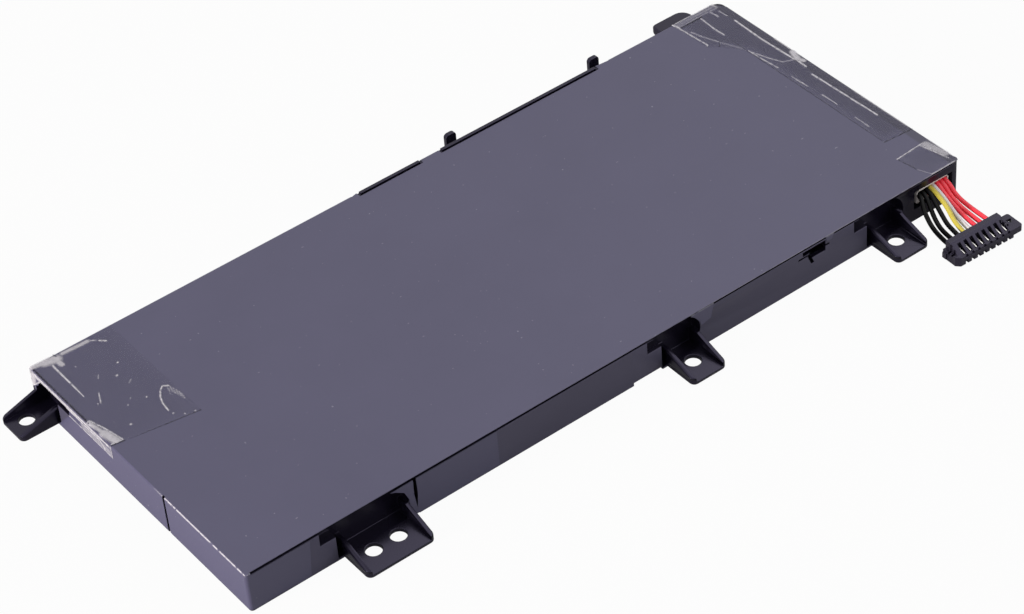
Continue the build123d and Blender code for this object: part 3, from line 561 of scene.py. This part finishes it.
def film_piece(name, sheet, material, replaced):
    """A finished sheet as a piece with its thickness inwards and its flat faces shaded flat."""
    for face in sheet.faces:
        face.smooth = True
    mesh = bpy.data.meshes.new(name)
    sheet.to_mesh(mesh)
    sheet.free()
    mesh.set_sharp_from_angle(angle=radians(40))
    piece = add_piece(name, mesh, material, "film", replaced)
    wall = piece.modifiers.new("thickness", "SOLIDIFY")
    wall.thickness = FILM_THICKNESS
    wall.offset = -1
    piece.modifiers.new("even shading", "WEIGHTED_NORMAL").keep_sharp = True
    return piece


wrap = bmesh.new()
wrap_corners = [wrap.verts.new((x * MM, y * MM, FILM_TOP)) for x, y in WRAP_OUTLINE]
wrap.faces.new(wrap_corners)
for index, foot in WRAP_FOLDS.items():
    fold = wrap.edges.get((wrap_corners[index], wrap_corners[(index + 1) % len(wrap_corners)]))
    flap = bmesh.ops.extrude_edge_only(wrap, edges=[fold])["geom"]
    lower = [vert for vert in flap if isinstance(vert, bmesh.types.BMVert)]
    for vert in lower:
        vert.co.z = foot * MM
corner_foot = min(lower, key=lambda vert: vert.co.y)
flap_corners = [wrap.verts.new((x * MM, FRONT_FACE, z * MM)) for x, z in CORNER_FLAP]
wrap.faces.new([wrap_corners[0], corner_foot, *flap_corners, wrap_corners[1]])
bmesh.ops.recalc_face_normals(wrap, faces=wrap.faces)
upright = wrap.edges.get((wrap_corners[0], corner_foot))
bmesh.ops.bevel(wrap, geom=[upright], offset=FILM_CORNER, segments=5, profile=0.5, affect="EDGES",
                material=-1)
waver_hems(wrap)
folds = [edge for edge in wrap.edges if len(edge.link_faces) == 2
         and all(vert.co.z > FILM_TOP - HEM_LEVEL for vert in edge.verts)]
bmesh.ops.bevel(wrap, geom=folds, offset=FILM_FOLD, segments=4, profile=0.5, affect="EDGES", material=-1)
for outline in EAR_FILMS:
    wrap.faces.new([wrap.verts.new((LEFT_FACE, y * MM, z * MM)) for y, z in outline])
bmesh.ops.recalc_face_normals(wrap, faces=wrap.faces)
for face in wrap.faces:
    if face.calc_center_median().x < LEFT_FACE + LEFT_SKIN and face.normal.x > 0:
        face.normal_flip()
film = film_finish()
film_piece("film_wrap", wrap, film,
           ["top_film", "left_wall_film", "back_wall_film", "right_wall_film", "front_corner_film"])

# Films on the front wall
# Loose bits of the same film lie on the front wall: a patch beside the double ear with a slit over the
# joint of the rails, and two small tabs that hang from the film's front edge.
PATCH_OUTLINE = ((-55.1, 0.4), (-33.0, 0.4), (-33.0, GROOVE_BOTTOM), (-53.2, GROOVE_BOTTOM), (-53.05, 6.0),
                 (-53.5, 1.6), (-54.0, 6.0), (-53.9, GROOVE_BOTTOM), (-59.4, GROOVE_BOTTOM), (-58.2, 9.1),
                 (-56.2, 7.7), (-55.2, 5.2))
EAR_TAB = ((20.6, 6.0), (23.2, 6.6), (24.1, 10.1), (17.8, 10.1), (18.8, 9.1), (20.1, 7.5))
WINDOW_TAB = ((55.6, 8.8), (57.0, 8.8), (57.6, 10.1), (55.2, 10.1))


def front_sheet(*outlines):
    """Flat pieces on the front wall, each with a wavering foot."""
    sheet = bmesh.new()
    for outline in outlines:
        corners = [sheet.verts.new((x * MM, FRONT_FACE, z * MM)) for x, z in outline]
        sheet.faces.new(corners)
    waver_hems(sheet)
    return sheet


film_piece("front_patch", front_sheet(PATCH_OUTLINE), film, ["front_film_patch"])
film_piece("front_tabs", front_sheet(EAR_TAB, WINDOW_TAB), film, ["front_film_tabs"])

# Clear tapes
# Three bits of thin clear tape hold the film's corners down. They show only by their marks: creases, scuffs
# and lifted edges turned white, partly real whitening and partly painted highlight, dark cut edges and
# seams, and painted shadow under a curled end, a folded band and along the left fold.
TAPE_THICKNESS = 0.05 * MM
TAPE_TOP = FILM_TOP + 0.06 * MM
TAPE_CELL = 0.2
BROKEN_BELOW = 0.3
BREAK_LEVEL = 0.8
BREAK_SCALE = 1.3
MARK_REACH = 6.0
MARK_FALL = 4
TAPE_FAINT = 0.02
MARK_COVER = 0.65
FIBRE_COVER = 0.5
VEIL_FADE = 3.0
TAPE_BEND = 0.41 * MM
TAPE_WHITE = (0.62, 0.60, 0.65, 1)
TAPE_SHADE = (0.010, 0.009, 0.018, 1)
LEFT_TAPE = ((-74.2, 4.8), (-74.2, 40), (-94, 40), (-99.0, 39.9), (-97.8, 38.4), (-96.6, 37.1),
             (-95.4, 35.8), (-95.3, 25.6), (-97.4, 25.2), (-97.4, 8.2), (-94, 8.2))
LEFT_FOLD = -94.06
# White marks: creases, scuffs and lifted edges turned white, partly with painted highlight. Dark marks: cut
# edges, and painted shadow under the curled end and along the fold.
LEFT_MARKS = (
    (((-93.4, 39.6), (-90.6, 39.1)), 0.75, 0.60, 0.03),
    (((-90.7, 38.9), (-88.4, 38.3)), 1.20, 0.58, 0.04),
    (((-88.5, 37.9), (-88.4, 36.0)), 0.60, 0.55, 0.03),
    (((-88.2, 40.0), (-88.0, 38.6)), 0.14, -0.5, 0.02),
    (((-86.5, 38.9), (-80.6, 38.6)), 0.50, 0.50, 0.03),
    (((-80.0, 38.4), (-79.0, 37.7)), 0.16, 0.55, 0.0),
    (((-78.5, 37.1), (-77.5, 36.1)), 0.18, 0.85, 0.0),
    (((-90.0, 37.2), (-90.1, 30.0)), 0.20, 0.85, 0.05),
    (((-90.1, 29.4), (-90.2, 24.6)), 0.15, 0.75, 0.04),
    (((-87.3, 23.4), (-88.6, 20.5)), 0.13, 0.55, 0.0),
    (((-93.75, 38.6), (-93.75, 17.0)), 0.17, -0.75, 0.0),
    (((-94.6, 38.4), (-94.6, 8.8)), 0.26, 0.80, 0.03),
    (((-94.9, 38.2), (-94.9, 21.6)), 0.55, 0.50, 0.0),
    (((-95.2, 38.6), (-97.6, 39.3)), 0.90, 0.48, 0.0),
    (((-94.4, 39.7), (-98.8, 39.7)), 0.16, 0.80, 0.02),
    (((-98.7, 39.6), (-96.5, 37.2), (-95.5, 36.0)), 0.16, 0.80, 0.02),
    (((-95.3, 25.4), (-95.3, 12.6), (-96.0, 11.6), (-96.8, 11.0)), 0.16, 0.80, 0.04),
    (((-97.2, 25.0), (-97.2, 8.6)), 0.14, 0.75, 0.02),
    (((-96.2, 19.4), (-96.2, 9.4)), 0.85, 0.20, 0.0),
    (((-94.2, 8.4), (-97.3, 8.3)), 0.14, 0.65, 0.03),
    (((-93.7, 17.4), (-93.0, 13.0)), 0.45, 0.55, 0.05),
    (((-92.9, 12.4), (-92.2, 8.8)), 0.95, 0.62, 0.08),
    (((-93.2, 17.6), (-92.0, 13.2), (-91.0, 8.2)), 0.14, 0.75, 0.05),
    (((-93.6, 8.6), (-91.1, 8.2)), 0.16, 0.80, 0.05),
    (((-93.9, 8.3), (-91.0, 7.8)), 0.14, -0.75, 0.0),
    (((-90.6, 7.5), (-74.3, 4.95)), 0.09, -0.65, 0.0),
    (((-74.3, 5.0), (-74.3, 12.5)), 0.07, -0.25, 0.0),
    (((-75.2, 15.5), (-76.3, 16.3), (-77.4, 15.4), (-78.4, 13.8), (-79.1, 11.8), (-79.4, 9.3)),
     0.17, 0.75, 0.06),
    (((-75.7, 15.3), (-76.0, 13.9)), 0.08, 0.55, 0.0),
    (((-75.2, 15.0), (-75.7, 13.1)), 0.08, 0.50, 0.0),
    (((-74.9, 14.4), (-75.5, 12.5)), 0.08, 0.55, 0.0),
    (((-74.7, 13.6), (-75.3, 11.8)), 0.08, 0.50, 0.0),
    (((-74.5, 12.8), (-75.1, 11.1)), 0.08, 0.55, 0.0),
    (((-74.5, 11.9), (-75.0, 10.5)), 0.08, 0.45, 0.0),
    (((-74.6, 11.0), (-74.9, 9.9)), 0.07, 0.40, 0.0),
    (((-79.1, 7.9),), 0.20, 0.60, 0.0),
    (((-77.4, 6.2),), 0.18, 0.60, 0.0),
    (((-75.3, 5.5),), 0.18, 0.60, 0.0),
    (((-79.3, 28.7),), 0.22, 0.70, 0.0),
    (((-81.6, 25.4),), 0.28, 0.65, 0.0),
    (((-89.2, 20.7),), 0.16, 0.60, 0.0),
    (((-87.4, 11.0),), 0.26, 0.60, 0.0),
    (((-80.5, 15.7),), 0.22, 0.55, 0.0),
    (((-84.7, 16.3),), 0.18, 0.40, 0.0),
    (((-83.2, 17.6),), 0.16, 0.55, 0.0),
    (((-86.6, 33.5),), 0.18, 0.45, 0.0),
    (((-82.8, 31.0),), 0.15, 0.35, 0.0),
    (((-84.3, 28.3), (-85.0, 27.2)), 0.10, 0.30, 0.0),
    (((-80.0, 22.4), (-80.9, 21.8)), 0.14, 0.28, 0.0),
)
END_TAPE = ((79.8, 40), (80.2, 28.0), (82.4, 26.0), (86, 20.8), (86, -24.9), (94, -25.6), (94, 38),
            (92, 40))
# White marks: creases and lifted edges turned white, partly with painted highlight. Dark marks: cut edges
# and seams, and painted shadow under the folded band.
END_MARKS = (
    (((80.6, 39.0), (91.8, 39.0)), 0.60, 0.08, 0.04),
    (((79.9, 39.9), (92.0, 39.9)), 0.13, 0.60, 0.03),
    (((80.6, 38.2), (91.9, 38.1)), 0.11, 0.40, 0.03),
    (((83.0, 39.1), (91.4, 39.0)), 0.09, 0.30, 0.03),
    (((80.8, 37.75), (87.0, 37.75)), 0.20, -0.60, 0.0),
    (((79.9, 39.9), (80.4, 38.2)), 0.28, 0.85, 0.05),
    (((91.6, 39.8), (92.0, 38.2)), 0.18, 0.60, 0.04),
    (((86.4, 37.4), (86.1, 32.0), (86.2, 29.0)), 0.22, 0.55, 0.05),
    (((80.3, 37.8), (80.6, 33.0), (80.95, 28.7), (80.6, 28.3)), 0.17, 0.65, 0.05),
    (((81.4, 34.8), (82.2, 31.5), (83.7, 27.6)), 0.22, 0.28, 0.03),
    (((83.9, 27.8), (82.5, 26.3)), 0.12, -0.35, 0.0),
    (((87.9, 29.5), (91.4, 28.4)), 0.12, -0.25, 0.0),
    (((83.8, 27.2), (86.0, 22.0)), 0.35, 0.08, 0.0),
    (((89.6, 38.0), (89.9, 35.3)), 0.26, 0.35, 0.0),
    (((91.4, 36.8), (91.5, 34.0)), 0.16, 0.45, 0.0),
    (((91.7, 31.4), (91.4, 22.4), (91.8, 11.2)), 0.24, 0.85, 0.06),
    (((86.3, 20.6), (86.6, 15.5), (87.0, 11.2)), 0.14, 0.60, 0.03),
    (((86.4, 20.2), (87.8, 15.5), (89.2, 12.2)), 0.14, 0.55, 0.03),
    (((89.2, 12.2), (91.4, 11.2)), 0.30, 0.16, 0.0),
    (((93.4, 13.4), (92.5, 10.9)), 0.75, 0.66, 0.05),
    (((92.5, 10.9), (93.0, 9.3)), 0.55, 0.62, 0.05),
    (((92.0, 10.2), (91.9, 7.3)), 0.26, 0.75, 0.05),
    (((93.75, 20.0), (93.75, 14.0)), 0.22, 0.45, 0.0),
    (((91.0, 4.2), (91.6, -16.6)), 0.22, 0.75, 0.05),
    (((87.1, 6.6), (87.3, 1.7)), 0.13, 0.65, 0.02),
    (((87.6, -2.9), (87.7, -7.8)), 0.13, 0.60, 0.02),
    (((87.5, -13.9), (87.4, -18.5)), 0.12, 0.45, 0.02),
    (((93.75, -6.0), (93.75, -24.0)), 0.16, 0.40, 0.0),
    (((86.05, -24.8), (93.9, -25.5)), 0.10, -0.60, 0.0),
    (((86.1, 26.0), (86.1, -24.0)), 0.08, -0.30, 0.0),
)
CORNER_TAPE = ((84, -30.8), (84.7, -36.6), (86, -40), (92.9, -40), (93.7, -39.6), (94, -38.8),
               (94, -30.3))
# White marks: creases and scuffs turned white, partly with painted highlight. The dark mark is the tape's
# cut edge.
CORNER_MARKS = (
    (((84.1, -31.0), (91.8, -30.6)), 0.16, 0.75, 0.03),
    (((84.1, -31.0), (84.9, -36.4)), 0.09, -0.60, 0.0),
    (((84.9, -36.6), (86.1, -39.6)), 0.10, 0.30, 0.0),
    (((92.2, -31.4), (93.2, -36.4)), 0.95, 0.42, 0.04),
    (((91.0, -30.8), (92.6, -38.2)), 0.16, 0.65, 0.04),
    (((86.2, -39.85), (92.6, -39.85)), 0.18, 0.60, 0.02),
    (((93.8, -30.6), (93.8, -38.4)), 0.16, 0.45, 0.0),
    (((92.0, -33.2),), 0.30, 0.70, 0.0),
)


def tape_finish():
    """Clear tape that turns white where its mark attribute is above zero, for whitening and painted
    highlight, and dark where it is below zero, for cut edges, seams and painted shadow.
    """
    material, shader, place = new_finish("clear_tape")
    mark = place.node("ShaderNodeAttribute", settings={"attribute_name": "whitening_and_shade"}, output=2)
    fibre = place.clouds(1300.0, 3.0)
    mark.rise(0.0, 0.05).blend(TAPE_SHADE, TAPE_WHITE).into(shader, "Base Color")
    (TAPE_FAINT + mark.size() * (MARK_COVER + FIBRE_COVER * fibre)).into(shader, "Alpha")
    (0.2 + 0.2 * fibre).into(shader, "Roughness")
    fibre.bump(0.3, 0.02 * MM).into(shader, "Normal")
    return material


def inside(outline, x, y):
    """Whether a place lies within an outline, by the edges that pass to its right."""
    crossings = 0
    for (ax, ay), (bx, by) in zip(outline, outline[1:] + outline[:1]):
        if (ay > y) != (by > y) and x < ax + (bx - ax) * (y - ay) / (by - ay):
            crossings += 1
    return crossings % 2 == 1


def gap_to(points, place):
    """Distance from a place to a line through some points."""
    gaps = [(Vector(point) - place).length for point in points]
    for start, end in zip(points, points[1:]):
        run = Vector(end) - Vector(start)
        share = min(1.0, max(0.0, (place - Vector(start)).dot(run) / run.length_squared))
        gaps.append((Vector(start) + share * run - place).length)
    return min(gaps)


def tape_sheet(outline, marks, veil):
    """A fine flat grid cut to an outline. Each mark gives its line, half width, whiteness and ridge."""
    xs = [x for x, y in outline]
    ys = [y for x, y in outline]
    width = max(xs) - min(xs)
    depth = max(ys) - min(ys)
    sheet = bmesh.new()
    bmesh.ops.create_grid(sheet, x_segments=ceil(width / TAPE_CELL), y_segments=ceil(depth / TAPE_CELL),
                          size=0.5)
    bmesh.ops.scale(sheet, verts=sheet.verts, vec=(width, depth, 1))
    bmesh.ops.translate(sheet, verts=sheet.verts, vec=(min(xs) + width / 2, min(ys) + depth / 2, 0))
    for (ax, ay), (bx, by) in zip(outline, outline[1:] + outline[:1]):
        bmesh.ops.bisect_plane(sheet, geom=sheet.verts[:] + sheet.edges[:] + sheet.faces[:], dist=0.001,
                               plane_co=(ax, ay, 0), plane_no=(by - ay, ax - bx, 0))
    outer = [face for face in sheet.faces if not inside(outline, *face.calc_center_median().xy)]
    bmesh.ops.delete(sheet, geom=outer, context="FACES")
    # Above zero the tape turns white, for whitening and painted highlight. Below zero it turns dark, for
    # cut edges, seams and painted shadow.
    whitening_and_shade = sheet.verts.layers.float.new("whitening_and_shade")
    for vert in sheet.verts:
        place = vert.co.xy
        broken = min(1.0, max(0.0, BREAK_LEVEL + BREAK_LEVEL * noise.noise(vert.co * BREAK_SCALE)))
        vert[whitening_and_shade] = veil * min(1.0, gap_to(outline + outline[:1], place) / VEIL_FADE)
        for points, half, white, ridge in marks:
            share = exp(-min(MARK_REACH, gap_to(points, place) / half) ** MARK_FALL)
            if share * abs(white) > abs(vert[whitening_and_shade]):
                vert[whitening_and_shade] = share * white * (broken if half < BROKEN_BELOW else 1.0)
            vert.co.z = max(vert.co.z, ridge * share)
    bmesh.ops.scale(sheet, verts=sheet.verts, vec=(MM, MM, MM))
    bmesh.ops.translate(sheet, verts=sheet.verts, vec=(0, 0, TAPE_TOP))
    return sheet


def fold_down(sheet, fold):
    """Bends what lies beyond a fold line on the left round the edge and down the wall."""
    for vert in sheet.verts:
        beyond = fold + TAPE_BEND - vert.co.x
        if beyond > 0:
            lift = vert.co.z - TAPE_TOP
            turn = min(pi / 2, beyond / TAPE_BEND)
            rest = beyond - turn * TAPE_BEND
            vert.co.x = fold + TAPE_BEND - (TAPE_BEND + lift) * sin(turn)
            vert.co.z = TAPE_TOP - TAPE_BEND + (TAPE_BEND + lift) * cos(turn) - rest


def tape_piece(name, sheet, material, replaced):
    """A finished tape as a piece with its thickness downwards."""
    bmesh.ops.recalc_face_normals(sheet, faces=sheet.faces)
    for face in sheet.faces:
        face.smooth = True
    mesh = bpy.data.meshes.new(name)
    sheet.to_mesh(mesh)
    sheet.free()
    piece = add_piece(name, mesh, material, "clear_tape", [replaced])
    wall = piece.modifiers.new("thickness", "SOLIDIFY")
    wall.thickness = TAPE_THICKNESS
    wall.offset = -1


clear_tape = tape_finish()
left_tape = tape_sheet(LEFT_TAPE, LEFT_MARKS, veil=-0.02)
fold_down(left_tape, LEFT_FOLD * MM)
tape_piece("left_tape", left_tape, clear_tape, "left_corner_tape")
end_tape = tape_sheet(END_TAPE, END_MARKS, veil=-0.09)
tape_piece("end_tape", end_tape, clear_tape, "right_end_tape")
corner_tape = tape_sheet(CORNER_TAPE, CORNER_MARKS, veil=-0.04)
tape_piece("corner_tape", corner_tape, clear_tape, "right_corner_tape")

# Stage
# A white sweep stands in for the studio floor, and it keeps the pack's soft shadow.
FLOOR_HALF = 3.0
FLOOR_DROP = 0.05 * MM
FLOOR_GREY = (0.42, 0.42, 0.42, 1)
FLOOR_SEEN = 0.96
FLOOR_MIRRORED = 0.13
floor_mesh = bmesh.new()
bmesh.ops.create_grid(floor_mesh, x_segments=1, y_segments=1, size=FLOOR_HALF)
bmesh.ops.translate(floor_mesh, verts=floor_mesh.verts, vec=(0, 0, -FLOOR_DROP))
mesh = bpy.data.meshes.new("floor")
floor_mesh.to_mesh(mesh)
floor_mesh.free()
floor = bpy.data.objects.new("floor", mesh)
bpy.context.scene.collection.objects.link(floor)


def seen_ray(tree, mirrored):
    """1 for what is seen straight on or through a clear piece, and a share of that in a reflection."""
    path = tree.nodes.new("ShaderNodeLightPath")
    camera = Signal(tree, path.outputs["Is Camera Ray"])
    glossy = Signal(tree, path.outputs["Is Glossy Ray"])
    return camera.larger(mirrored * glossy).larger(Signal(tree, path.outputs["Is Transmission Ray"]))


floor_white = bpy.data.materials.new("floor_white")
floor_white.use_nodes = True
floor_tree = floor_white.node_tree
floor_shader = floor_tree.nodes["Principled BSDF"]
floor_shader.inputs["Base Color"].default_value = FLOOR_GREY
floor_shader.inputs["Roughness"].default_value = 1.0
floor_shader.inputs["Specular IOR Level"].default_value = 0.0
glow = floor_tree.nodes.new("ShaderNodeEmission")
glow.inputs["Strength"].default_value = 1.0
floor_mix = floor_tree.nodes.new("ShaderNodeMixShader")
(FLOOR_SEEN * seen_ray(floor_tree, FLOOR_MIRRORED)).into(floor_mix, 0)
floor_tree.links.new(floor_shader.outputs[0], floor_mix.inputs[1])
floor_tree.links.new(glow.outputs[0], floor_mix.inputs[2])
floor_tree.links.new(floor_mix.outputs[0], floor_tree.nodes["Material Output"].inputs["Surface"])
floor.data.materials.append(floor_white)

# Light
# A pale room, a wide lamp high on the left, one low on the left for the wall, a near one over the right end
# and a low one in front give the faces their levels. A small one low on the left draws the highlights, so
# the larger one beside it makes no reflections.
ROOM_STRENGTH = 0.35
world = bpy.data.worlds.new("studio")
bpy.context.scene.world = world
world.use_nodes = True
room = world.node_tree.nodes["Background"]
room.inputs["Color"].default_value = (1, 1, 1, 1)
(ROOM_STRENGTH + (1 - ROOM_STRENGTH) * seen_ray(world.node_tree, 1.0)).into(room, "Strength")


def soft_lamp(name, place, size, power, colour=(1, 1, 1)):
    """A round lamp that looks at the pack."""
    lamp = bpy.data.lights.new(name, "AREA")
    lamp.shape = "DISK"
    lamp.size = size
    lamp.energy = power
    lamp.color = colour
    light = bpy.data.objects.new(name, lamp)
    bpy.context.scene.collection.objects.link(light)
    light.location = place
    light.rotation_euler = (-Vector(place)).to_track_quat("-Z", "Y").to_euler()
    return light


soft_lamp("key_lamp", (-0.62, -0.16, 0.91), size=0.80, power=0.8)
left_lamp = soft_lamp("left_lamp", (-1.05, 0.12, 0.24), size=0.32, power=16.5, colour=(1.0, 0.95, 0.90))
left_lamp.visible_glossy = False
soft_lamp("edge_lamp", (-1.05, -0.15, 0.24), size=0.14, power=0.8)
soft_lamp("near_lamp", (0.35, -0.10, 0.55), size=0.90, power=2.1)
soft_lamp("front_lamp", (0.62, -0.85, 0.22), size=0.60, power=2.1)

# Camera
# A long lens looks down on the pack from its front left, turned a little about its own axis.
LENS_MM = 111.92
SENSOR_MM = 36.0
CAMERA_PLACE = Vector((-290.3, -425.2, 446.9)) * MM
CAMERA_TARGET = Vector((-1.316, -3.152, 0)) * MM
CAMERA_ROLL = radians(-5.22)
camera_data = bpy.data.cameras.new("camera")
camera_data.lens = LENS_MM
camera_data.sensor_width = SENSOR_MM
camera_data.sensor_fit = "HORIZONTAL"
camera_data.clip_start = 0.01
camera = bpy.data.objects.new("camera", camera_data)
bpy.context.scene.collection.objects.link(camera)
aim = (CAMERA_TARGET - CAMERA_PLACE).to_track_quat("-Z", "Y").to_matrix().to_4x4()
camera.matrix_world = Matrix.Translation(CAMERA_PLACE) @ aim @ Matrix.Rotation(CAMERA_ROLL, 4, "Z")
bpy.context.scene.camera = camera
bpy.context.scene.view_settings.view_transform = "Standard"
